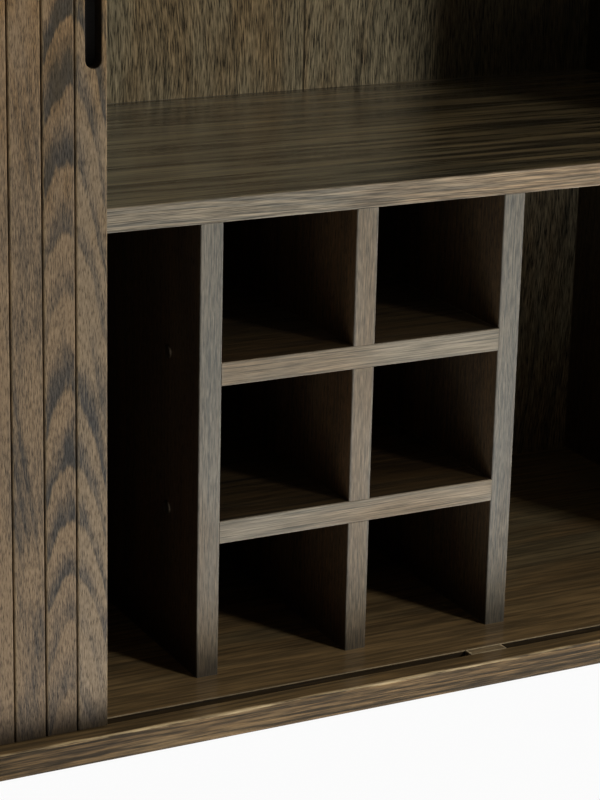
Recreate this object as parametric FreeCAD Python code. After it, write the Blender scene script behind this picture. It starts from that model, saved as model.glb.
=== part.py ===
import FreeCAD, Part
import os
from FreeCAD import Vector

# Slatted wine cabinet: a carcase of dark oak boards on four legs, a six-bottle rack under a fixed shelf,
# and two slatted doors that slide along one straight track.
# Millimetres. X runs along the front, Y to the back, Z up; the origin is on the floor, under the middle.

# Carcase boards
depth = 440.0
inner_height = 1114.0
deck_thickness = 21.0
side_thickness = 20.0
board_thickness = 18.0
edge_round = 1.0
deck_round = 2.5

# Places measured back from the front face
lip_width = 17.0
groove_width = 10.0
board_setback = 65.0

# Back leaves, let into a groove all round, with a batten over their joint
back_thickness = 8.0
back_recess = 12.0
back_housing = 6.0
back_joint_x = 34.0
batten_width = 60.0

# Doors and track
slat_count = 14
slat_pitch = 24.0
slat_gap = 0.9
slat_thickness = 12.0
slat_round = 1.3
tongue_thickness = 6.0
lower_groove_depth = 9.0
upper_groove_depth = 13.0
lift_room = 4.0
slat_end_gap = 1.5
backing_thickness = 1.0
backing_margin = 20.0
slot_width = 12.0
slot_length = 150.0
slot_margin = 4.0
slot_round = 0.8
door_travel = 325.0
closed_half_gap = 1.0
stop_length = 32.0
partition_lap = 6.0
bumper_diameter = 8.0
bumper_thickness = 3.0
bumper_end_distance = 120.0

# Bottle rack
cell_width = 110.0
cell_height = 106.0
cells_across = 2
cells_up = 3
rack_left = -231.0
rack_back_gap = 15.0
halving_clearance = 0.2

# Loose shelves
upper_shelf_height = 735.0
shelf_end_clearance = 1.0
housing_depth = 5.0
pin_diameter = 5.0
pin_bore_depth = 8.0
pin_reach = 8.0
middle_pin_inset = 45.0
outer_pin_inset = 65.0

# Fasteners
dowel_diameter = 8.0
dowel_in_deck = 12.0
dowel_in_board = 18.0
dowel_end_distance = 50.0
dowel_count = 3
rack_screw_diameter = 5.0
rack_screw_length = 45.0
rack_cap_diameter = 10.0
rack_cap_thickness = 1.2
rack_screw_inset = 55.0
rack_screw_drop = 4.5
back_screw_diameter = 3.5
back_screw_length = 25.0
back_head_diameter = 8.0
back_head_thickness = 2.5
back_screw_count = 4
back_screw_end_distance = 80.0
bore_clearance = 0.1

# Legs
leg_clearance = 150.0
leg_top_diameter = 46.0
leg_foot_diameter = 30.0
leg_inset = 70.0
plate_size = 64.0
plate_thickness = 3.0
plate_screw_spacing = 46.0
plate_screw_diameter = 4.0
plate_screw_length = 14.0
plate_head_diameter = 8.0
plate_head_thickness = 2.0
stud_diameter = 8.0
stud_in_leg = 30.0
stud_in_deck = 12.0
glide_diameter = 24.0
glide_thickness = 4.0

# Worked-out places
slat_width = slat_pitch - slat_gap
door_width = slat_count * slat_pitch - slat_gap
door_edge = closed_half_gap + door_travel
inner_half = door_edge + door_width + bumper_thickness
outer_half = inner_half + side_thickness
bay_half = closed_half_gap + door_width - partition_lap
partition_outer = bay_half + board_thickness
front = -depth / 2
rear = depth / 2
back_rear = rear - back_recess
back_front = back_rear - back_thickness
board_front = front + board_setback
groove_front = front + lip_width
groove_back = groove_front + groove_width
tongue_front = groove_front + (groove_width - tongue_thickness) / 2
slat_back = tongue_front + tongue_thickness
slat_front = slat_back - slat_thickness
deck_under = leg_clearance
floor_top = deck_under + deck_thickness
ceiling = floor_top + inner_height
cabinet_top = ceiling + deck_thickness
rack_back = back_front - rack_back_gap
rack_height = cells_up * cell_height + (cells_up - 1) * board_thickness
rack_inner_width = cells_across * cell_width + (cells_across - 1) * board_thickness
wine_shelf_under = floor_top + rack_height
wine_shelf_top = wine_shelf_under + board_thickness
upper_shelf_under = floor_top + upper_shelf_height
slot_middle_x = -door_edge - slot_margin - slot_width / 2
slot_middle_z = floor_top + inner_height / 2
stop_half = stop_length / 2
X_AXIS = Vector(1, 0, 0)
Y_AXIS = Vector(0, 1, 0)
Z_AXIS = Vector(0, 0, 1)


def block(x0, x1, y0, y1, z0, z1):
    """A box between two corners."""
    return Part.makeBox(x1 - x0, y1 - y0, z1 - z0, Vector(x0, y0, z0))


def rod(diameter, length, start, axis):
    """A cylinder from a point along an axis."""
    return Part.makeCylinder(diameter / 2, length, start, axis)


def bored(shape, cutters):
    """The shape with a list of cutters taken away."""
    return shape.cut(Part.makeCompound(cutters))


def mirrored(shape):
    """The same piece on the other side of the middle plane."""
    return shape.mirror(Vector(0, 0, 0), X_AXIS)


def eased(shape, radius, y, direction):
    """Rounds the straight edges that lie in the plane y and run along a direction."""
    chosen = []
    for edge in shape.Edges:
        ends = [vertex.Point for vertex in edge.Vertexes]
        if len(ends) < 2 or any(abs(point.y - y) > 1e-6 for point in ends):
            continue
        if abs((ends[1] - ends[0]).normalize().dot(direction)) > 0.999:
            chosen.append(edge)
    return shape.makeFillet(radius, chosen)


def spaced(first, last, count):
    """Evenly spaced places from first to last."""
    return [first + (last - first) * i / (count - 1) for i in range(count)]


def screw(head_point, axis, head_diameter, head_thickness, shank_diameter, shank_length):
    """A headed screw: the head stands back from the point, the shank runs along the axis."""
    head = rod(head_diameter, head_thickness, head_point - axis * head_thickness, axis)
    shank = rod(shank_diameter, shank_length, head_point, axis)
    return head.fuse(shank)


# Upright boards stand on dowels between the two decks.
def dowel_points():
    """Centre points of the dowels at one end of every upright board, as X and Y."""
    side_x = outer_half - side_thickness / 2
    partition_x = bay_half + board_thickness / 2
    side_places = spaced(front + dowel_end_distance, back_front - dowel_end_distance, dowel_count)
    partition_places = spaced(board_front + dowel_end_distance, back_front - dowel_end_distance, dowel_count)
    points = [(sign * side_x, y) for sign in (-1, 1) for y in side_places]
    return points + [(sign * partition_x, y) for sign in (-1, 1) for y in partition_places]


def dowels(extra):
    """All carcase dowels, or their bores when extra is the clearance."""
    length = dowel_in_deck + dowel_in_board + 2 * extra
    pieces = []
    for x, y in dowel_points():
        low = Vector(x, y, floor_top - dowel_in_deck - extra)
        high = Vector(x, y, ceiling - dowel_in_board - extra)
        pieces += [rod(dowel_diameter + 2 * extra, length, point, Z_AXIS) for point in (low, high)]
    return pieces


# Loose shelves rest on pegs in the partitions and the sides.
def shelf_pins(extra):
    """All shelf pegs, or their bores when extra is the clearance."""
    length = pin_bore_depth + pin_reach
    outer_heights = (wine_shelf_under, upper_shelf_under)
    walls = [(bay_half, 1, middle_pin_inset, (upper_shelf_under,)),
             (partition_outer, -1, outer_pin_inset, outer_heights),
             (inner_half, 1, outer_pin_inset, outer_heights)]
    pieces = []
    for wall_x, into_wall, inset, heights in walls:
        deep_end = wall_x + into_wall * (pin_bore_depth + extra)
        for under in heights:
            for y in (board_front + inset, back_front - inset):
                start = Vector(deep_end, y, under - pin_diameter / 2)
                pin = rod(pin_diameter + 2 * extra, length, start, X_AXIS * -into_wall)
                pieces += [pin, mirrored(pin)]
    return pieces


def back_screw_points():
    """Points on the rear of the back leaves, over the back edges of the partitions."""
    partition_x = bay_half + board_thickness / 2
    heights = spaced(floor_top + back_screw_end_distance, ceiling - back_screw_end_distance, back_screw_count)
    return [Vector(sign * partition_x, back_rear, z) for sign in (-1, 1) for z in heights]


def back_screws():
    """Pan-head screws through the back leaves into the partitions."""
    return [screw(point, -Y_AXIS, back_head_diameter, back_head_thickness, back_screw_diameter,
                  back_screw_length) for point in back_screw_points()]


def back_screw_bores():
    """Bores for the shanks of the back screws."""
    return [rod(back_screw_diameter + 2 * bore_clearance, back_screw_length + bore_clearance, point, -Y_AXIS)
            for point in back_screw_points()]


def leg_points():
    """Centre points of the four legs, by name."""
    x = outer_half - leg_inset
    y = depth / 2 - leg_inset
    return {"front_left_leg": (-x, -y), "front_right_leg": (x, -y),
            "rear_left_leg": (-x, y), "rear_right_leg": (x, y)}


def plate_screws(extra):
    """Screws from below through the leg plates into the deck, or their bores."""
    pieces = []
    half = plate_screw_spacing / 2
    for x, y in leg_points().values():
        for dx, dy in ((-half, -half), (half, -half), (half, half), (-half, half)):
            point = Vector(x + dx, y + dy, deck_under - plate_thickness)
            if extra:
                pieces.append(rod(plate_screw_diameter + 2 * extra, plate_screw_length + extra, point, Z_AXIS))
            else:
                pieces.append(screw(point, Z_AXIS, plate_head_diameter, plate_head_thickness,
                                    plate_screw_diameter, plate_screw_length))
    return pieces


def leg_studs(extra):
    """Studs from the legs through the plates into the deck, or their bores."""
    start = deck_under - plate_thickness - stud_in_leg - extra
    length = stud_in_leg + plate_thickness + stud_in_deck + 2 * extra
    return [rod(stud_diameter + 2 * extra, length, Vector(x, y, start), Z_AXIS)
            for x, y in leg_points().values()]


def back_groove_cutter(x0, x1, z0, z1):
    """The groove that takes the edges of the back leaves."""
    return block(x0, x1, back_front, back_rear, z0, z1)


def bottom_panel():
    """The lower deck, with the door track, the back groove and bores for dowels, studs and screws."""
    panel = eased(block(-outer_half, outer_half, front, rear, deck_under, floor_top), deck_round, front, X_AXIS)
    track = block(-inner_half, inner_half, groove_front, groove_back, floor_top - lower_groove_depth, floor_top)
    groove = back_groove_cutter(-inner_half - back_housing, inner_half + back_housing,
                                floor_top - back_housing, floor_top)
    bores = dowels(bore_clearance) + leg_studs(bore_clearance) + plate_screws(bore_clearance)
    return bored(panel, [track, groove] + bores)


def top_panel():
    """The upper deck, with the upper door track, the back groove and dowel bores."""
    panel = eased(block(-outer_half, outer_half, front, rear, ceiling, cabinet_top), deck_round, front, X_AXIS)
    track = block(-inner_half, inner_half, groove_front, groove_back, ceiling, ceiling + upper_groove_depth)
    groove = back_groove_cutter(-inner_half - back_housing, inner_half + back_housing,
                                ceiling, ceiling + back_housing)
    return bored(panel, [track, groove] + dowels(bore_clearance))


def left_side():
    """The outer side board, with the back groove and bores."""
    board = eased(block(-outer_half, -inner_half, front, rear, floor_top, ceiling), edge_round, front, Z_AXIS)
    groove = back_groove_cutter(-inner_half - back_housing, -inner_half, floor_top, ceiling)
    return bored(board, [groove] + dowels(bore_clearance) + shelf_pins(bore_clearance))


def left_partition():
    """The board between the middle bay and an outer bay, with the wine shelf's housing and bores."""
    board = block(-partition_outer, -bay_half, board_front, back_front, floor_top, ceiling)
    board = eased(board, edge_round, board_front, Z_AXIS)
    housing = block(-bay_half - housing_depth, -bay_half, board_front, back_front,
                    wine_shelf_under, wine_shelf_top)
    return bored(board, [housing] + dowels(bore_clearance) + shelf_pins(bore_clearance) + back_screw_bores())


def back_leaf(x0, x1):
    """One leaf of the back, let into the groove of the decks and a side."""
    leaf = block(x0, x1, back_front, back_rear, floor_top - back_housing, ceiling + back_housing)
    return bored(leaf, back_screw_bores())


def back_batten():
    """The upright batten that closes the joint of the two back leaves from behind."""
    half = batten_width / 2
    return block(back_joint_x - half, back_joint_x + half, back_rear, rear, floor_top, ceiling)


def wine_shelf():
    """The fixed shelf over the rack, housed in both partitions."""
    reach = bay_half + housing_depth
    shelf = block(-reach, reach, board_front, back_front, wine_shelf_under, wine_shelf_top)
    return eased(shelf, edge_round, board_front, X_AXIS)


def loose_shelf(x0, x1, under):
    """A shelf that rests on four pegs."""
    shelf = block(x0 + shelf_end_clearance, x1 - shelf_end_clearance,
                  board_front, back_front - shelf_end_clearance, under, under + board_thickness)
    return eased(shelf, edge_round, board_front, X_AXIS)


def rack_shelf_levels():
    """Undersides of the rack's level boards."""
    step = cell_height + board_thickness
    return [floor_top + cell_height + i * step for i in range(cells_up - 1)]


def rack_divider_lefts():
    """Left faces of the rack's inner uprights."""
    step = cell_width + board_thickness
    return [rack_left + step + i * step for i in range(cells_across - 1)]


def rack_screws(extra):
    """Cap-headed screws through the rack's uprights into its level boards, or their bores."""
    right_face = rack_left + 2 * board_thickness + rack_inner_width
    pieces = []
    for level in rack_shelf_levels():
        for y in (board_front + rack_screw_inset, rack_back - rack_screw_inset):
            z = level + board_thickness - rack_screw_drop
            for x, axis in ((rack_left, X_AXIS), (right_face, -X_AXIS)):
                point = Vector(x, y, z)
                if extra:
                    pieces.append(rod(rack_screw_diameter + 2 * extra, rack_screw_length + extra, point, axis))
                else:
                    pieces.append(screw(point, axis, rack_cap_diameter, rack_cap_thickness,
                                        rack_screw_diameter, rack_screw_length))
    return pieces


def rack_upright(left):
    """An outer upright of the rack, from the lower deck to the wine shelf."""
    board = block(left, left + board_thickness, board_front, rack_back, floor_top, wine_shelf_under)
    return bored(eased(board, edge_round, board_front, Z_AXIS), rack_screws(bore_clearance))


def rack_divider(left):
    """An inner upright, slotted from the front so that the level boards run through it."""
    board = block(left, left + board_thickness, board_front, rack_back, floor_top, wine_shelf_under)
    board = eased(board, edge_round, board_front, Z_AXIS)
    middle = (board_front + rack_back) / 2
    slots = [block(left, left + board_thickness, board_front, middle, level, level + board_thickness)
             for level in rack_shelf_levels()]
    return bored(board, slots)


def rack_level(under):
    """A level board of the rack, slotted from behind for the inner uprights."""
    start = rack_left + board_thickness
    board = block(start, start + rack_inner_width, board_front, rack_back, under, under + board_thickness)
    board = eased(board, edge_round, board_front, X_AXIS)
    middle = (board_front + rack_back) / 2
    slots = [block(left - halving_clearance, left + board_thickness + halving_clearance, middle, rack_back,
                   under, under + board_thickness) for left in rack_divider_lefts()]
    return bored(board, slots + rack_screws(bore_clearance))


# Doors: the left one is built, the right one is its mirror.
def slot_cutter():
    """The finger slot of the leading slat: a slot with round ends, right through the slat."""
    half = slot_length / 2 - slot_width / 2
    y0 = slat_front - slat_thickness
    length = 3 * slat_thickness
    middle = block(slot_middle_x - slot_width / 2, slot_middle_x + slot_width / 2, y0, y0 + length,
                   slot_middle_z - half, slot_middle_z + half)
    ends = [rod(slot_width, length, Vector(slot_middle_x, y0, slot_middle_z + sign * half), Y_AXIS)
            for sign in (-1, 1)]
    return middle.multiFuse(ends).removeSplitter()


def slat(index, notch):
    """A door slat with a thin tongue at each end; the notch shortens the tongues at the leading edge."""
    lead = -door_edge - index * slat_pitch
    body = block(lead - slat_width, lead, slat_front, slat_back,
                 floor_top + slat_end_gap, ceiling - slat_end_gap)
    body = eased(body, slat_round, slat_front, Z_AXIS)
    tongue = block(lead - slat_width, lead - notch, tongue_front, slat_back,
                   floor_top - lower_groove_depth, ceiling + upper_groove_depth - lift_room)
    return body.fuse(tongue).removeSplitter()


def handle_slat():
    """The leading slat, with its finger slot and tongues that clear the track stop."""
    piece = slat(0, stop_half - closed_half_gap).cut(slot_cutter())
    rim = [edge for edge in piece.Edges
           if all(abs(vertex.Point.y - slat_front) < 1e-6 for vertex in edge.Vertexes)
           and edge.BoundBox.ZMin > slot_middle_z - slot_length
           and edge.BoundBox.ZMax < slot_middle_z + slot_length]
    return piece.makeFillet(slot_round, rim)


def door_slats():
    """The other slats of a door."""
    return Part.makeCompound([slat(index, 0.0) for index in range(1, slat_count)])


def door_backing():
    """The sheet glued behind the slats; it also closes the finger slot from behind."""
    return block(-door_edge - door_width, -door_edge, slat_back, slat_back + backing_thickness,
                 floor_top + backing_margin, ceiling - backing_margin)


def door_bumpers():
    """Small pads on the sides, where the opened doors come to rest."""
    y = slat_front + slat_thickness / 2
    pads = [rod(bumper_diameter, bumper_thickness, Vector(-inner_half, y, z), X_AXIS)
            for z in (floor_top + bumper_end_distance, ceiling - bumper_end_distance)]
    return Part.makeCompound(pads + [mirrored(pad) for pad in pads])


def track_stop(z0, z1):
    """A block set in the track at the middle, where the closed doors meet."""
    return block(-stop_half, stop_half, groove_front, groove_back, z0, z1)


# Legs
def leg(x, y):
    """A round tapered leg, bored for its stud."""
    height = leg_clearance - plate_thickness - glide_thickness
    cone = Part.makeCone(leg_foot_diameter / 2, leg_top_diameter / 2, height, Vector(x, y, glide_thickness))
    return bored(cone, leg_studs(bore_clearance) + plate_screw_head_room())


def plate_screw_head_room():
    """Room for the heads of the plate screws beside a leg."""
    half = plate_screw_spacing / 2
    height = plate_head_thickness + bore_clearance
    low = deck_under - plate_thickness - height
    return [rod(plate_head_diameter + 2 * bore_clearance, height, Vector(x + dx, y + dy, low), Z_AXIS)
            for x, y in leg_points().values() for dx in (-half, half) for dy in (-half, half)]


def leg_plates():
    """Steel plates between the legs and the deck."""
    half = plate_size / 2
    plates = [block(x - half, x + half, y - half, y + half, deck_under - plate_thickness, deck_under)
              for x, y in leg_points().values()]
    cutters = leg_studs(bore_clearance) + plate_screws(bore_clearance)
    return Part.makeCompound([bored(plate, cutters) for plate in plates])


def foot_glides():
    """Round pads under the legs."""
    return Part.makeCompound([rod(glide_diameter, glide_thickness, Vector(x, y, 0), Z_AXIS)
                              for x, y in leg_points().values()])


def all_nodes():
    """Every node of the cabinet, by name."""
    nodes = {
        "bottom_panel": bottom_panel(),
        "top_panel": top_panel(),
        "left_side": left_side(),
        "left_partition": left_partition(),
        "back_leaf_left": back_leaf(-inner_half - back_housing, back_joint_x),
        "back_leaf_right": back_leaf(back_joint_x, inner_half + back_housing),
        "back_batten": back_batten(),
        "back_screws": Part.makeCompound(back_screws()),
        "carcase_dowels": Part.makeCompound(dowels(0.0)),
        "wine_shelf": wine_shelf(),
        "upper_shelf": loose_shelf(-bay_half, bay_half, upper_shelf_under),
        "left_lower_shelf": loose_shelf(-inner_half, -partition_outer, wine_shelf_under),
        "left_upper_shelf": loose_shelf(-inner_half, -partition_outer, upper_shelf_under),
        "shelf_pins": Part.makeCompound(shelf_pins(0.0)),
        "rack_left_upright": rack_upright(rack_left),
        "rack_right_upright": rack_upright(rack_left + board_thickness + rack_inner_width),
        "rack_screws": Part.makeCompound(rack_screws(0.0)),
        "lower_track_stop": track_stop(floor_top - lower_groove_depth, floor_top),
        "upper_track_stop": track_stop(ceiling, ceiling + upper_groove_depth),
        "left_handle_slat": handle_slat(),
        "left_slats": door_slats(),
        "left_backing": door_backing(),
        "door_bumpers": door_bumpers(),
        "leg_plates": leg_plates(),
        "leg_studs": Part.makeCompound(leg_studs(0.0)),
        "leg_screws": Part.makeCompound(plate_screws(0.0)),
        "foot_glides": foot_glides(),
    }
    for number, under in enumerate(rack_shelf_levels(), 1):
        nodes["rack_level_%d" % number] = rack_level(under)
    for number, left in enumerate(rack_divider_lefts(), 1):
        nodes["rack_divider_%d" % number] = rack_divider(left)
    for name, (x, y) in leg_points().items():
        nodes[name] = leg(x, y)
    for name in [name for name in nodes if name.startswith("left_")]:
        nodes[name.replace("left_", "right_", 1)] = mirrored(nodes[name])
    return nodes


os.makedirs("parts", exist_ok=True)
for name, shape in all_nodes().items():
    shape.exportStep("parts/%s.step" % name)
    box = shape.BoundBox
    print("%-20s solids %2d valid %s  X %.1f %.1f  Y %.1f %.1f  Z %.1f %.1f" % (
        name, len(shape.Solids), shape.isValid(), box.XMin, box.XMax, box.YMin, box.YMax, box.ZMin, box.ZMax))
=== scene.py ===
"""A slatted wine cabinet in dark smoked oak: finishes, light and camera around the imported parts.

Metres, in the parts' own frame: X along the front, Y to the back, Z up, the floor at Z = 0.
"""
import math

import bpy
from mathutils import Matrix, Vector


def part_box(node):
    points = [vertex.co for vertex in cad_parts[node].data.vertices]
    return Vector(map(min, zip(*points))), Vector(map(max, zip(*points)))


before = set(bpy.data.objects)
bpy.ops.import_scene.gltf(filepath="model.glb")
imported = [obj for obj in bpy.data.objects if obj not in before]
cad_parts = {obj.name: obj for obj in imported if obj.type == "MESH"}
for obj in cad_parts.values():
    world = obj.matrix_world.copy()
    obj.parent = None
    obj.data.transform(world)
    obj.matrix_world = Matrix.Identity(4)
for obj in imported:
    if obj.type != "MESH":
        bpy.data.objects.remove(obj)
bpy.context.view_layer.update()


class Socket:
    """One output of a node; arithmetic on it adds Math nodes."""

    def __init__(self, graph, socket):
        self.graph = graph
        self.socket = socket

    def math(self, operation, *others):
        sockets = dict(enumerate((self,) + others))
        return self.graph.node("Math", {"operation": operation}, sockets)

    def __add__(self, other):
        return self.math("ADD", other)

    def __sub__(self, other):
        return self.math("SUBTRACT", other)

    def __mul__(self, other):
        return self.math("MULTIPLY", other)

    def __truediv__(self, other):
        return self.math("DIVIDE", other)

    def __pow__(self, other):
        return self.math("POWER", other)

    def __rsub__(self, other):
        return self.graph.node("Math", {"operation": "SUBTRACT"}, {0: other, 1: self})

    __radd__ = __add__
    __rmul__ = __mul__


class Graph:
    """The node tree of one finish, or of the surround."""

    def __init__(self, owner):
        owner.use_nodes = True
        self.owner = owner
        self.tree = owner.node_tree
        self.tree.nodes.clear()

    def node(self, kind, settings=None, sockets=None, out=0):
        """Adds a node of a kind, sets its settings, then its sockets' values or links; gives one output."""
        made = self.tree.nodes.new("ShaderNode" + kind)
        for key, value in (settings or {}).items():
            setattr(made, key, value)
        for key, value in (sockets or {}).items():
            if isinstance(value, Socket):
                self.tree.links.new(value.socket, made.inputs[key])
            else:
                made.inputs[key].default_value = value
        return Socket(self, made.outputs[out]) if made.outputs else None

    def place(self):
        """The object's own coordinates as three values."""
        coords = self.node("TexCoord", out="Object")
        return [self.node("SeparateXYZ", None, {0: coords}, axis) for axis in range(3)]

    def vector(self, x, y, z):
        return self.node("CombineXYZ", None, {0: x, 1: y, 2: z})

    def noise(self, vector, detail, roughness=0.5, scale=1.0, out=0):
        sockets = {"Vector": vector, "Scale": scale, "Detail": detail, "Roughness": roughness}
        return self.node("TexNoise", None, sockets, out)

    def channels(self, colour):
        return [self.node("SeparateColor", None, {0: colour}, channel) for channel in range(3)]

    def chance(self, value):
        """A fixed random number for each whole value."""
        return self.node("TexWhiteNoise", {"noise_dimensions": "1D"}, {"W": value}, "Value")

    def step(self, value, low, high):
        """Zero below low, one above high, smooth between."""
        sockets = {0: value, 1: low, 2: high, 3: 0.0, 4: 1.0}
        return self.node("MapRange", {"interpolation_type": "SMOOTHSTEP"}, sockets)

    def mix(self, factor, first, second, blend="MIX"):
        sockets = {0: factor, 6: first, 7: second}
        return self.node("Mix", {"data_type": "RGBA", "blend_type": blend}, sockets, 2)

    def scaled(self, colour, value):
        """A colour times a value."""
        return self.node("VectorMath", {"operation": "SCALE"}, {0: colour, "Scale": value})

    def shown(self):
        """One for what the eye sees straight, in a reflection or through glass."""
        camera, glossy, through, bounces = [self.node("LightPath", None, None, ray) for ray in (
            "Is Camera Ray", "Is Glossy Ray", "Is Transmission Ray", "Diffuse Depth")]
        direct = 1.0 - bounces.math("MINIMUM", 1.0)
        return camera.math("MAXIMUM", glossy.math("MAXIMUM", through) * direct)

    def finish(self, colour, roughness, height, depth, strength, **constants):
        """Closes the tree with one surface shader and a bump from a height."""
        bump = self.node("Bump", None, {"Height": height, "Distance": depth, "Strength": strength})
        sockets = {"Base Color": colour, "Roughness": roughness, "Normal": bump}
        sockets.update(constants)
        shader = self.node("BsdfPrincipled", None, sockets)
        self.node("OutputMaterial", None, {"Surface": shader})
        return self.owner


def rgb(red, green, blue):
    return (red, green, blue, 1.0)


X, Y, Z = 0, 1, 2
LOW, HIGH = 0, 1


def middle(node, axis):
    """The middle of a part's box along an axis."""
    low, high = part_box(node)
    return (low[axis] + high[axis]) / 2


def extent(node, axis):
    """The size of a part's box along an axis."""
    low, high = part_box(node)
    return high[axis] - low[axis]


# Places that the finishes follow. The stop blocks fill the tracks, so they give the tracks' section. A finger
# slot is set in from its door's leading edge. The painted shade at the slats' feet starts a little above the
# deck.
FLOOR_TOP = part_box("bottom_panel")[HIGH][Z]
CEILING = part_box("top_panel")[LOW][Z]
CASE_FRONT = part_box("bottom_panel")[LOW][Y]
BOARD_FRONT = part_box("wine_shelf")[LOW][Y]
BACK_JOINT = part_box("back_leaf_left")[HIGH][X]
GROOVE_MIDDLE = middle("lower_track_stop", Y)
GROOVE_HALF = extent("lower_track_stop", Y) / 2
GROOVE_END = -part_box("left_side")[HIGH][X]
LOWER_GROOVE_DEPTH = extent("lower_track_stop", Z)
UPPER_GROOVE_DEPTH = extent("upper_track_stop", Z)
FIRST_SLAT = -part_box("left_slats")[LOW][X]
SLAT_PITCH = 0.024
SLAT_WIDTH = 0.0231
SLAT_SHADE_START = FLOOR_TOP + 0.0015
SLOT_INSET = 0.010
SLOT_X = SLOT_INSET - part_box("left_handle_slat")[HIGH][X]
SLOT_Z = middle("left_handle_slat", Z)
SLOT_HALF_WIDTH = 0.0061
SLOT_HALF_HEIGHT = 0.0752

# The thickness of the strip on a board's front, the width of the boards that a door's slats were sawn from,
# and how far the middle of the arched figure lies beside the middle of such a board.
LIPPING = 0.0011
DOOR_BOARD = 0.096
DOOR_HEART = 0.0295

# Where marks start and end, from the line or face that they follow.
BLUR = 0.0004
GROOVE_BLUR = 0.0003
GROOVE_MOUTH = (0.0003, 0.0012)
RIM_WIDTH = (0.0003, 0.0009)
RIM_DEPTH = (0.0004, 0.0010)
SLOT_MOUTH = (0.0006, 0.0016)
SEAM = (0.0005, 0.0012)
SAPWOOD_START = (0.0006, 0.0014)
SAPWOOD_END = (0.0030, 0.0050)
ARRIS_START = 0.0002
UNLIT_ARRIS_SIDE = (0.0, 0.002)

# The grain: how far a seed moves it, how often it wanders and ripples in a metre, and at which share of a
# ring the porous band is darkest and has gone.
SEED_SHIFT = 7.3
DOOR_SHIFT = 40.0
SECOND_DRAW = 50.0
WANDER_COUNT = 4.0
RIPPLE_ACROSS = 110.0
RIPPLE_ALONG = 8.0
BAND_PEAK = 0.16
BAND_END = 0.9

# The values of the noises between which fibres, pores, pits, stain and warm patches come up.
FIBRE_RANGE = (0.30, 0.70)
PORE_RANGE = (0.32, 0.68)
PIT_RANGE = (0.72, 1.0)
STAIN_RANGE = (-0.34, 0.46)
WARM_RANGE = (0.38, 0.66)

GRAIN_DEPTH = 0.0003
GRAIN_STRENGTH = 0.5
COAT_ROUGHNESS = 0.2
COAT_IOR = 1.8
# The colour of the painted highlight along a track's rear rim.
RIM_HIGHLIGHT = rgb(0.36, 0.28, 0.17)
WARM = rgb(1.10, 0.98, 0.82)

# Colours of dense and of porous wood in the strips on the fronts.
EDGE_BOARD = (rgb(0.280, 0.212, 0.138), rgb(0.158, 0.132, 0.097))
EDGE_LEVEL = (rgb(0.290, 0.226, 0.153), rgb(0.122, 0.108, 0.084))
EDGE_UPRIGHT = (rgb(0.216, 0.176, 0.128), rgb(0.116, 0.108, 0.090))
EDGE_DECK = (rgb(0.143, 0.093, 0.041), rgb(0.030, 0.023, 0.013))

# Cuts of oak.
# Colours: light is dense wood, dark is porous wood, the arris colour is rubbed wear with a painted highlight
# on it, chill tints the cool patches, and edge is for the strip on the front, which lies at front.
# Rings: rings is their width; pith, taper, sway, swell and drift say where the heart line runs and how it
# wanders; climb is how fast arches rise, and ripple how uneven a ring is.
# Stain: band, cloud and jag by rings, patches and fibres, and stain all over.
# Counts in a metre: fibres and pores across the board, through it and along the grain, patches across and
# along, edge_run for the pores along a strip; lean is how far strands stray.
# Marks: fleck and pit are how much pores darken; rub and the arris width are the share and width of pale
# arrises, partly rubbed wear and partly a painted highlight; the kept side is the axis and side of an arris
# that keep the painted highlight where the light falls, and the share that the other side loses; the foot
# entry is the start, height and depth of painted shade at a foot; joint is the place of an upright joint.
# Warm patches: turn adds them along the grain, warmth all over. Along the shelf the turn is a painted
# reflection, cool at its left end and warmer to the right; on the slats it makes them cooler towards their
# feet.
# Gloss: sheen, satin, which is the roughness, and coat.
OAK = dict(
    drift=1.5, climb=0.0, ripple=1.3, band=0.5, cloud=0.9, jag=0.8, stain=0.06, fibres=(800.0, 800.0, 50.0),
    pores=(1000.0, 1000.0, 120.0), patches=(30.0, 6.0), edge=None, edge_run=90.0, front=BOARD_FRONT, lean=0.0,
    fleck=0.5, pit=0.0, rub=0.55, arris_width=0.0020, highlight_side=None, painted_foot_shade=None, joint=None, turn=0.0, warmth=0.0,
    chill=rgb(0.94, 0.98, 0.97), sheen=0.32, satin=0.46, coat=0.0)
BOARD = dict(
    OAK, edge=EDGE_BOARD, edge_run=30.0, fibres=(330.0, 1050.0, 20.0), pores=(210.0, 1300.0, 9.0),
    rings=0.0036, pith=0.30, taper=0.006, sway=0.05, swell=0.03, drift=1.3, band=0.4)
UPRIGHT = dict(
    OAK, wear_and_highlight=rgb(0.19, 0.16, 0.115), edge=EDGE_UPRIGHT, rings=0.0032, pith=0.20, taper=0.004, sway=0.012,
    swell=0.012, band=0.45, stain=0.08, sheen=0.12)
PANEL = dict(OAK, rings=0.0058, pith=0.25, taper=0.03, sway=0.06, swell=0.05)
# The deck keeps its pale arris only along its upper arrises, as a painted highlight where the light falls.
DECK = dict(
    OAK, light=rgb(0.194, 0.133, 0.064), dark=rgb(0.107, 0.078, 0.042), wear_and_highlight=rgb(0.46, 0.33, 0.165),
    edge=EDGE_DECK, edge_run=30.0, front=CASE_FRONT, rings=0.0048, pith=0.34, taper=0.008, sway=0.06,
    swell=0.04, drift=1.3, stain=0.12, fibres=(330.0, 500.0, 20.0), pores=(210.0, 760.0, 9.0),
    fleck=0.6, rub=0.9, arris_width=0.0022, highlight_side=(Z, 1.0, 1.0), sheen=0.1, coat=0.4)
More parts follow.
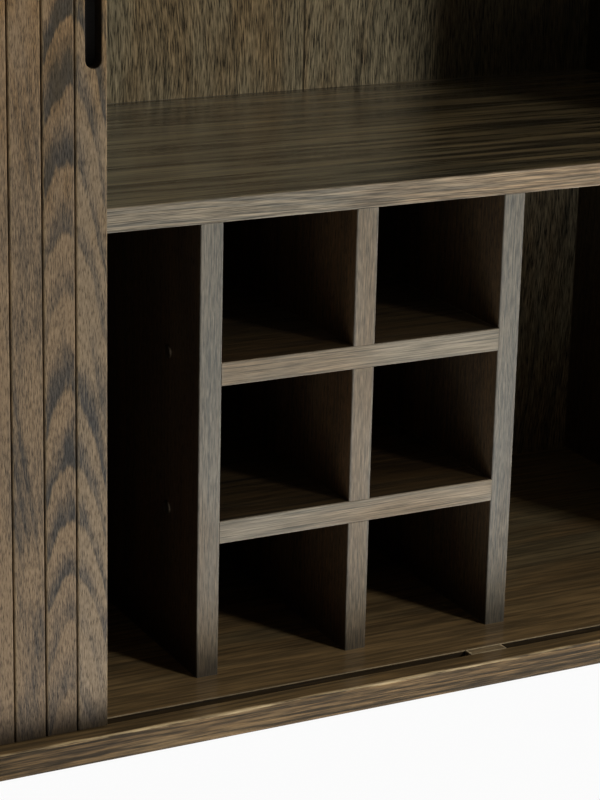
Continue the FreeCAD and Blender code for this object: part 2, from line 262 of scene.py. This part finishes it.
# The slats keep their pale arris on one side as a painted highlight; the other side loses most of it.
SLAT = dict(
    OAK, wear_and_highlight=rgb(0.25, 0.17, 0.082), chill=rgb(0.96, 1.01, 1.16), rings=0.0056, pith=0.045, taper=0.0,
    climb=0.115, sway=0.010, swell=0.016, drift=3.4, ripple=0.55, band=0.95, cloud=1.4, jag=0.55, stain=-0.05,
    fibres=(1000.0, 1000.0, 60.0), pores=(1350.0, 1350.0, 170.0), patches=(55.0, 14.0), fleck=0.55, pit=0.25,
    highlight_side=(X, -1.0, 0.6), painted_foot_shade=(SLAT_SHADE_START, 0.034, 0.80), turn=1.0, warmth=0.14, sheen=0.08)
LOOKS = {
    "slat": dict(SLAT, light=rgb(0.226, 0.146, 0.071), dark=rgb(0.056, 0.047, 0.033)),
    "handle": dict(SLAT, light=rgb(0.232, 0.158, 0.081), dark=rgb(0.062, 0.054, 0.040), highlight_side=None),
    "lower_deck": DECK,
    "upper_deck": dict(DECK, sheen=0.05, satin=0.74, coat=0.0),
    # The shelf's turn paints a cool reflection at its left end, warmer towards the right.
    "shelf": dict(
        BOARD, light=rgb(0.170, 0.138, 0.078), dark=rgb(0.044, 0.040, 0.027), wear_and_highlight=rgb(0.26, 0.21, 0.14),
        band=0.9, pores=(120.0, 1300.0, 5.0), fleck=1.6, rub=0.4, turn=1.4, sheen=0.15, satin=0.40, coat=1.0),
    "level": dict(
        BOARD, light=rgb(0.042, 0.026, 0.012), dark=rgb(0.016, 0.011, 0.006), wear_and_highlight=rgb(0.20, 0.165, 0.115),
        edge=EDGE_LEVEL, sheen=0.1),
    "upright": dict(
        UPRIGHT, light=rgb(0.062, 0.034, 0.015), dark=rgb(0.020, 0.013, 0.008),
        painted_foot_shade=(FLOOR_TOP, 0.038, 0.72)),
    # A lighter copy of the upright colours for the divider and the right upright: painted light on their
    # faces.
    "painted_lit_upright": dict(
        UPRIGHT, light=rgb(0.112, 0.064, 0.029), dark=rgb(0.038, 0.026, 0.016),
        painted_foot_shade=(FLOOR_TOP, 0.036, 0.62)),
    "partition": dict(
        PANEL, light=rgb(0.075, 0.050, 0.026), dark=rgb(0.026, 0.020, 0.013), wear_and_highlight=rgb(0.16, 0.13, 0.09),
        edge=EDGE_UPRIGHT, sheen=0.1),
    "side": dict(
        PANEL, light=rgb(0.150, 0.100, 0.049), dark=rgb(0.040, 0.036, 0.027), wear_and_highlight=rgb(0.22, 0.155, 0.085),
        stain=0.12),
    "back": dict(
        OAK, light=rgb(0.252, 0.196, 0.116), dark=rgb(0.086, 0.071, 0.045), wear_and_highlight=rgb(0.22, 0.16, 0.085),
        rings=0.0090, pith=0.09, taper=0.02, climb=0.07, sway=0.08, swell=0.05, drift=2.2, band=0.6,
        cloud=0.6, jag=0.7, stain=0.02, fibres=(560.0, 560.0, 36.0), pores=(980.0, 980.0, 62.0), lean=0.07,
        fleck=1.15, pit=0.6, joint=BACK_JOINT, sheen=0.06),
    "stop": dict(
        OAK, light=rgb(0.26, 0.175, 0.088), dark=rgb(0.150, 0.100, 0.052), wear_and_highlight=rgb(0.70, 0.55, 0.33),
        rings=0.0030, pith=0.10, taper=0.01, sway=0.02, swell=0.02, rub=0.8),
    "beech": dict(
        OAK, light=rgb(0.52, 0.36, 0.22), dark=rgb(0.38, 0.25, 0.14), wear_and_highlight=rgb(0.55, 0.40, 0.26),
        rings=0.002, pith=0.05, taper=0.01, sway=0.01, swell=0.01, fleck=0.3),
}


def joined(graph, places, look, colour, tone):
    """The upright joint of the back: a dark seam with a golden line of sapwood beside it."""
    off = places[X] - look["joint"]
    seam = 1.0 - graph.step(off.math("ABSOLUTE"), *SEAM)
    sapwood = graph.step(off, *SAPWOOD_START) - graph.step(off, *SAPWOOD_END)
    return graph.mix(sapwood * 0.6, colour, look["wear_and_highlight"]), tone * (1.0 - seam * 0.75)


def grooved(graph, places, groove, colour, tone):
    """A track sawn into a deck from a level, up or down to a depth: painted shade inside it, and a painted
    highlight along its rear rim.
    """
    level, way, depth = groove
    off = (places[Y] - GROOVE_MIDDLE).math("ABSOLUTE")
    under = (places[Z] - level) * way
    groove_shade = 1.0 - graph.step(off, GROOVE_HALF, GROOVE_HALF + GROOVE_BLUR)
    groove_shade = groove_shade * graph.step(under, *GROOVE_MOUTH)
    groove_shade = groove_shade * (1.0 - graph.step(under, depth, depth + BLUR))
    groove_shade = groove_shade * (1.0 - graph.step(places[X].math("ABSOLUTE"), GROOVE_END, GROOVE_END + BLUR))
    rim = 1.0 - graph.step((off - GROOVE_HALF).math("ABSOLUTE"), *RIM_WIDTH)
    rim = rim * graph.step(places[Y], GROOVE_MIDDLE, GROOVE_MIDDLE + GROOVE_HALF)
    rim = rim * (1.0 - graph.step(under, *RIM_DEPTH))
    return graph.mix(rim * 0.8, colour, RIM_HIGHLIGHT), tone * (1.0 - groove_shade * 0.86)


def slotted(graph, places, front, tone):
    """The finger slot of a leading slat: painted shade darkens its walls behind the rounded rim."""
    beside = (places[X].math("ABSOLUTE") - SLOT_X).math("ABSOLUTE")
    above = (places[Z] - SLOT_Z).math("ABSOLUTE")
    slot_shade = 1.0 - graph.step(beside, SLOT_HALF_WIDTH, SLOT_HALF_WIDTH + BLUR)
    slot_shade = slot_shade * (1.0 - graph.step(above, SLOT_HALF_HEIGHT, SLOT_HALF_HEIGHT + BLUR))
    return tone * (1.0 - slot_shade * graph.step(places[Y] - front, *SLOT_MOUTH) * 0.9)


def oak(node, look, along, across, deep, seed, door=0.0, slats=False, groove=None, slot=False):
    """Smoked oak as a solid: growth rings are circles about a tapering, wandering heart line that runs along
    the grain beside the board; each ring opens with a porous band that stains dark and closes dense and
    golden. A door's slats were sawn from wider boards, so their figure runs on from slat to slat."""
    low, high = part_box(node)
    centre = [(low[axis] + high[axis]) / 2 for axis in range(3)]
    half = [(high[axis] - low[axis]) / 2 for axis in range(3)]
    graph = Graph(bpy.data.materials.new("oak_" + node))
    places = graph.place()
    local = [places[axis] - centre[axis] for axis in range(3)]
    shift = SEED_SHIFT * seed
    tint = 0.5
    figure = 0.6
    if slats:
        count = (places[X] * door + FIRST_SLAT) / SLAT_PITCH
        index = count.math("FLOOR")
        local[X] = (count - index) * SLAT_PITCH - SLAT_WIDTH / 2
        half[X] = SLAT_WIDTH / 2
        tint = graph.chance(index + seed)
        figure = graph.chance(index + seed + SECOND_DRAW) * 0.55 + 0.2
    a, c, d = local[along], local[across], local[deep]
    if door:
        count = (places[X] * door + FIRST_SLAT + (SLAT_PITCH - SLAT_WIDTH) / 2) / DOOR_BOARD
        index = count.math("FLOOR")
        c = (count - index - 0.5) * DOOR_BOARD + DOOR_HEART
        shift = graph.chance(index + seed) * DOOR_SHIFT
        figure = (1.3 - c.math("ABSOLUTE") * 13.0) * figure

    # Rings, and the porous band of each ring.
    place = graph.vector(c * WANDER_COUNT, d * WANDER_COUNT + shift, a * look["drift"])
    sway, swell, patch = graph.channels(graph.noise(place, 2.0, out="Color"))
    to_side = c + (sway - 0.5) * look["sway"]
    to_heart = d + look["pith"] + a * look["taper"] + (swell - 0.5) * look["swell"]
    radius = (to_side * to_side + to_heart * to_heart) ** 0.5 + a * look["climb"]
    place = graph.vector(c * RIPPLE_ACROSS, d * RIPPLE_ACROSS, a * RIPPLE_ALONG + shift)
    ripple = graph.noise(place, 3.0, 0.6)
    count = radius / look["rings"] + (ripple - 0.5) * look["ripple"]
    ring = count.math("FLOOR")
    phase = count - ring
    weight = graph.chance(ring + seed) * 0.8 + 0.25
    band = (graph.step(phase, 0.0, BAND_PEAK) - graph.step(phase, BAND_PEAK, BAND_END)) * weight

    # Fibres, pores and patches; pores on the strip of a front have their own length.
    lipping = 0.0
    run = look["pores"][2]
    if look["edge"]:
        lipping = 1.0 - graph.step(places[Y] - look["front"], LIPPING - BLUR, LIPPING + BLUR)
        run = lipping * (look["edge_run"] - run) + run
    strand = c + (sway - 0.5) * look["lean"] if look["lean"] else c
    side_count, deep_count, along_count = look["fibres"]
    place = graph.vector(strand * side_count, d * deep_count, a * along_count + shift)
    fibre = graph.step(graph.noise(place, 4.0, 0.68), *FIBRE_RANGE)
    side_count, deep_count, along_count = look["pores"]
    place = graph.vector(strand * side_count, d * deep_count, a * run + shift)
    fleck = graph.step(graph.noise(place, 3.0, 0.62), *PORE_RANGE)
    side_count, along_count = look["patches"]
    place = graph.vector(c * side_count, d * side_count, a * along_count + shift)
    cloud = graph.noise(place, 3.0, 0.55)

    # Stain, then warm and cool patches; along the shelf their turn is a painted reflection.
    uneven = (fibre - 0.5) * 0.42 + (fleck - 0.5) * 0.26
    stain = (band - 0.3) * figure * look["band"] + uneven * look["jag"] + (tint - 0.5) * 0.3
    stain = graph.step(stain + (cloud - 0.5) * look["cloud"] + look["stain"], *STAIN_RANGE)
    pores = graph.step(fleck + band * 0.15, *PIT_RANGE)
    colour = graph.mix(stain, look["light"], look["dark"])
    if look["edge"]:
        colour = graph.mix(lipping, colour, graph.mix(stain, *look["edge"]))
    warm = graph.step(patch + (cloud - 0.5) * 0.7 + a * look["turn"] + look["warmth"], *WARM_RANGE)
    cool = graph.mix(1.0, colour, look["chill"], "MULTIPLY")
    colour = graph.mix(warm, cool, graph.mix(1.0, colour, WARM, "MULTIPLY"))

    # Pale arrises, partly rubbed wear and partly a painted highlight: the middle one of the distances to
    # three pairs of faces is small only near an arris.
    edge = [half[axis] - local[axis].math("ABSOLUTE") for axis in range(3)]
    nearer = edge[X].math("MINIMUM", edge[Y])
    further = edge[X].math("MAXIMUM", edge[Y])
    arris = nearer.math("MAXIMUM", further.math("MINIMUM", edge[Z]))
    arris = arris + (cloud - 0.5) * 0.0024 + (fibre - 0.5) * 0.002
    wear_and_highlight = 1.0 - graph.step(arris, ARRIS_START, look["arris_width"])
    if look["highlight_side"]:
        axis, way, share = look["highlight_side"]
        wear_and_highlight = wear_and_highlight * (1.0 - graph.step(local[axis] * -way, *UNLIT_ARRIS_SIDE) * share)
    colour = graph.mix(wear_and_highlight * look["rub"], colour, look["wear_and_highlight"])

    # Darker fibres and pores, and the marks of single parts: a dark joint, painted shade at a foot, painted
    # shade in a track with a painted highlight on its rear rim, and painted shade in a finger slot.
    tone = (1.12 - fibre * 0.24) * (1.0 + (0.5 - fleck) * look["fleck"] * (1.0 - lipping * 0.4))
    tone = tone * (1.0 - pores * look["pit"])
    if look["joint"]:
        colour, tone = joined(graph, places, look, colour, tone)
    # Painted shade at the foot: darker towards the deck.
    if look["painted_foot_shade"]:
        start, rise, depth = look["painted_foot_shade"]
        clear = graph.step(places[Z] + (cloud - 0.5) * 0.02, start, start + rise)
        tone = tone * (1.0 - depth + clear * depth)
    if groove:
        colour, tone = grooved(graph, places, groove, colour, tone)
    if slot:
        tone = slotted(graph, places, low[Y], tone)

    roughness = look["satin"] + pores * 0.2 - stain * 0.06 + (cloud - 0.5) * 0.12
    height = fibre * 0.4 + fleck * 0.4 - pores * 0.5 - band * 0.2
    gloss = {"Specular IOR Level": look["sheen"]}
    if look["coat"]:
        gloss["Coat Weight"] = look["coat"] * (1.0 - lipping)
        gloss["Coat Roughness"] = COAT_ROUGHNESS
        gloss["Coat IOR"] = COAT_IOR
    return graph.finish(graph.scaled(colour, tone), roughness, height, GRAIN_DEPTH, GRAIN_STRENGTH, **gloss)


THREAD_COUNT = 5200.0


def canvas(name):
    """Woven cotton glued behind the slats: warp and weft as two crossed waves, one over the other."""
    graph = Graph(bpy.data.materials.new(name))
    x, y, z = graph.place()
    warp = (x * THREAD_COUNT).math("SINE")
    weft = (z * THREAD_COUNT).math("SINE")
    weave = warp * weft * 0.5 + 0.5
    slub = graph.noise(graph.vector(x * 30.0, y, z * 400.0), 3.0)
    colour = graph.mix(weave * 0.6 + slub * 0.4, rgb(0.010, 0.009, 0.008), rgb(0.034, 0.029, 0.024))
    return graph.finish(colour, 0.9 - slub * 0.1, weave, 0.0003, 0.6, **{"Specular IOR Level": 0.15})


def metal(name, colour, roughness):
    """Turned steel: fine streaks round the axis and dull spots."""
    graph = Graph(bpy.data.materials.new(name))
    x, y, z = graph.place()
    streak = graph.noise(graph.vector(x * 300.0, y * 300.0, z * 2400.0), 3.0)
    spot = graph.noise(graph.vector(x, y, z), 3.0, scale=160.0)
    tone = graph.scaled(colour, 1.0 - (streak * 0.3 + spot * 0.2))
    dull = roughness + (spot - 0.5) * 0.2 + streak * 0.08
    return graph.finish(tone, dull, streak, 0.00008, 0.3, Metallic=1.0)


def moulded(name, colour, roughness, grain):
    """Moulded plastic, rubber or powder coat: a fine pebbled skin with slightly paler rubbed spots."""
    graph = Graph(bpy.data.materials.new(name))
    x, y, z = graph.place()
    pebble = graph.noise(graph.vector(x, y, z), 2.0, scale=grain)
    rub = graph.noise(graph.vector(x, y, z), 3.0, scale=grain * 0.06)
    tone = graph.scaled(colour, 1.0 + graph.step(rub, 0.45, 0.8) * 0.9)
    return graph.finish(tone, roughness + (rub - 0.5) * 0.2, pebble, 0.0001, 0.4)


def dress(node, material):
    """Gives a node's object one finish."""
    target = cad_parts[node]
    while not target.material_slots:
        target.data.materials.append(None)
    for slot in target.material_slots:
        slot.link = "OBJECT"
        slot.material = material


# Each board with its look, the axes along its grain, across its face and through it, and its seed.
BOARDS = [
    ("left_side", "side", Z, Y, X, 3), ("right_side", "side", Z, Y, X, 4),
    ("left_partition", "partition", Z, Y, X, 5), ("right_partition", "partition", Z, Y, X, 6),
    ("back_leaf_left", "back", Z, X, Y, 7), ("back_leaf_right", "back", Z, X, Y, 8),
    ("back_batten", "side", Z, X, Y, 9), ("wine_shelf", "shelf", X, Y, Z, 10),
    ("upper_shelf", "shelf", X, Y, Z, 11), ("left_lower_shelf", "shelf", X, Y, Z, 12),
    ("left_upper_shelf", "shelf", X, Y, Z, 13), ("right_lower_shelf", "shelf", X, Y, Z, 14),
    ("right_upper_shelf", "shelf", X, Y, Z, 15), ("rack_left_upright", "upright", Z, Y, X, 16),
    ("rack_right_upright", "painted_lit_upright", Z, Y, X, 17), ("rack_divider_1", "painted_lit_upright", Z, Y, X, 18),
    ("rack_level_1", "level", X, Y, Z, 19), ("rack_level_2", "level", X, Y, Z, 20),
    ("lower_track_stop", "stop", X, Y, Z, 21), ("upper_track_stop", "stop", X, Y, Z, 22),
    ("front_left_leg", "side", Z, X, Y, 25), ("front_right_leg", "side", Z, X, Y, 26),
    ("rear_left_leg", "side", Z, X, Y, 27), ("rear_right_leg", "side", Z, X, Y, 28),
    ("carcase_dowels", "beech", Z, X, Y, 29),
]
for node, look, along, across, deep, seed in BOARDS:
    dress(node, oak(node, LOOKS[look], along, across, deep, seed))
lower_track = (FLOOR_TOP, -1.0, LOWER_GROOVE_DEPTH)
dress("bottom_panel", oak("bottom_panel", LOOKS["lower_deck"], X, Y, Z, 1, groove=lower_track))
upper_track = (CEILING, 1.0, UPPER_GROOVE_DEPTH)
dress("top_panel", oak("top_panel", LOOKS["upper_deck"], X, Y, Z, 2, groove=upper_track))
for side, way, seed in (("left", 1.0, 31), ("right", -1.0, 47)):
    dress(side + "_handle_slat", oak(side + "_handle_slat", LOOKS["handle"], Z, X, Y, seed, way, slot=True))
    dress(side + "_slats", oak(side + "_slats", LOOKS["slat"], Z, X, Y, seed, way, slats=True))
    dress(side + "_backing", canvas("canvas_" + side + "_backing"))
steel = metal("steel_bright", (0.56, 0.55, 0.53), 0.34)
for node in ("back_screws", "shelf_pins", "leg_studs", "leg_screws"):
    dress(node, steel)
dress("rack_screws", metal("steel_bronzed", (0.20, 0.155, 0.105), 0.40))
dress("leg_plates", moulded("plate_black", (0.014, 0.014, 0.015), 0.5, 1400.0))
dress("foot_glides", moulded("glide_black", (0.020, 0.020, 0.021), 0.55, 800.0))
dress("door_bumpers", moulded("bumper_rubber", (0.016, 0.016, 0.016), 0.7, 700.0))

WHITE = rgb(1.0, 1.0, 1.0)
FLOOR_GREY = rgb(0.62, 0.62, 0.62)
FLOOR_SIZE = 30.0
FLOOR_SHOWN = 0.96
AMBIENT = 0.006


def studio():
    """A pale floor and a white surround; both show white to the eye, and the floor keeps a soft shadow."""
    mesh = bpy.data.meshes.new("floor")
    corners = [(x * FLOOR_SIZE, y * FLOOR_SIZE, 0.0) for x, y in ((-1, -1), (1, -1), (1, 1), (-1, 1))]
    mesh.from_pydata(corners, [], [(0, 1, 2, 3)])
    floor = bpy.data.objects.new("floor", mesh)
    bpy.context.scene.collection.objects.link(floor)
    graph = Graph(bpy.data.materials.new("floor_white"))
    matt = graph.node("BsdfDiffuse", None, {"Color": FLOOR_GREY})
    white = graph.node("Emission", None, {"Color": WHITE, "Strength": 1.0})
    surface = graph.node("MixShader", None, {0: graph.shown() * FLOOR_SHOWN, 1: matt, 2: white})
    graph.node("OutputMaterial", None, {"Surface": surface})
    mesh.materials.append(graph.owner)
    bpy.context.scene.world = bpy.data.worlds.new("surround")
    graph = Graph(bpy.context.scene.world)
    strength = graph.shown() * (1.0 - AMBIENT) + AMBIENT
    background = graph.node("Background", None, {"Color": WHITE, "Strength": strength})
    graph.node("OutputWorld", None, {"Surface": background})


MIDDLE = (0.0, -0.15, 0.6)
DAYLIGHT = (1.0, 1.0, 1.0)
COOL = (0.88, 0.98, 1.20)


def lamp(name, place, target, width, height, power, shine=True, colour=DAYLIGHT):
    """A soft panel at a place, turned to a target; the eye doesn't see the panel, nor, where it has no
    shine, its reflection."""
    data = bpy.data.lights.new(name, "AREA")
    data.shape = "RECTANGLE"
    data.size = width
    data.size_y = height
    data.energy = power
    data.color = colour
    made = bpy.data.objects.new(name, data)
    made.location = place
    made.rotation_euler = (Vector(target) - Vector(place)).to_track_quat("-Z", "Y").to_euler()
    made.visible_camera = False
    made.visible_glossy = shine
    bpy.context.scene.collection.objects.link(made)


def away(turn, lift, distance):
    """The place at a distance from the cabinet's middle, turned to the right of its front and lifted, in
    degrees."""
    turn = math.radians(turn)
    lift = math.radians(lift)
    return (MIDDLE[X] + distance * math.sin(turn) * math.cos(lift),
            MIDDLE[Y] - distance * math.cos(turn) * math.cos(lift),
            MIDDLE[Z] + distance * math.sin(lift))


# Each lamp's place, target, width, height and power in watts. The strips lie just above the floor, before the
# cabinet.
studio()
lamp("key_panel", away(27.5, 20.0, 5.0), MIDDLE, 0.60, 0.50, 112.0)
lamp("wide_panel", away(64.0, 25.0, 4.0), MIDDLE, 2.6, 1.8, 46.0)
lamp("near_strip", (1.9, -0.395, 0.01), (1.9, -0.395, 1.0), 4.5, 0.31, 18.0, False, COOL)
lamp("far_strip", (0.0, -0.775, 0.01), (0.0, -0.775, 1.0), 5.0, 0.45, 5.0, False, COOL)
lamp("left_panel", (-3.0, 0.9, 1.5), (-0.6, 0.1, 0.6), 1.6, 1.6, 26.0)
lamp("right_panel", (3.0, 0.9, 1.5), (0.6, 0.1, 0.6), 1.6, 1.6, 20.0)
lamp("rear_panel", (0.4, 3.0, 1.6), (0.0, 0.2, 0.6), 2.0, 1.6, 36.0)
lamp("over_panel", (0.0, 0.9, 3.2), (0.0, 0.1, 1.3), 1.8, 1.0, 16.0, False)

# The camera: turned to the right, looking down and tilted, in radians; its focal length in pixels.
VIEW_TURN = 0.48208
VIEW_DROP = 0.30699
VIEW_TILT = 0.02334
VIEW_PLACE = (-0.98637, -1.75775, 0.95590)
IMAGE_LONG_SIDE = 800.0
FOCAL_PIXELS = 2532.4
SENSOR = 36.0
data = bpy.data.cameras.new("camera")
data.sensor_width = SENSOR
data.lens = FOCAL_PIXELS / IMAGE_LONG_SIDE * SENSOR
camera = bpy.data.objects.new("camera", data)
camera.matrix_world = (
    Matrix.Translation(VIEW_PLACE) @ Matrix.Rotation(-VIEW_TURN, 4, "Z")
    @ Matrix.Rotation(math.pi / 2 - VIEW_DROP, 4, "X") @ Matrix.Rotation(VIEW_TILT, 4, "Z"))
bpy.context.scene.collection.objects.link(camera)
bpy.context.scene.camera = camera
bpy.context.scene.view_settings.view_transform = "Standard"
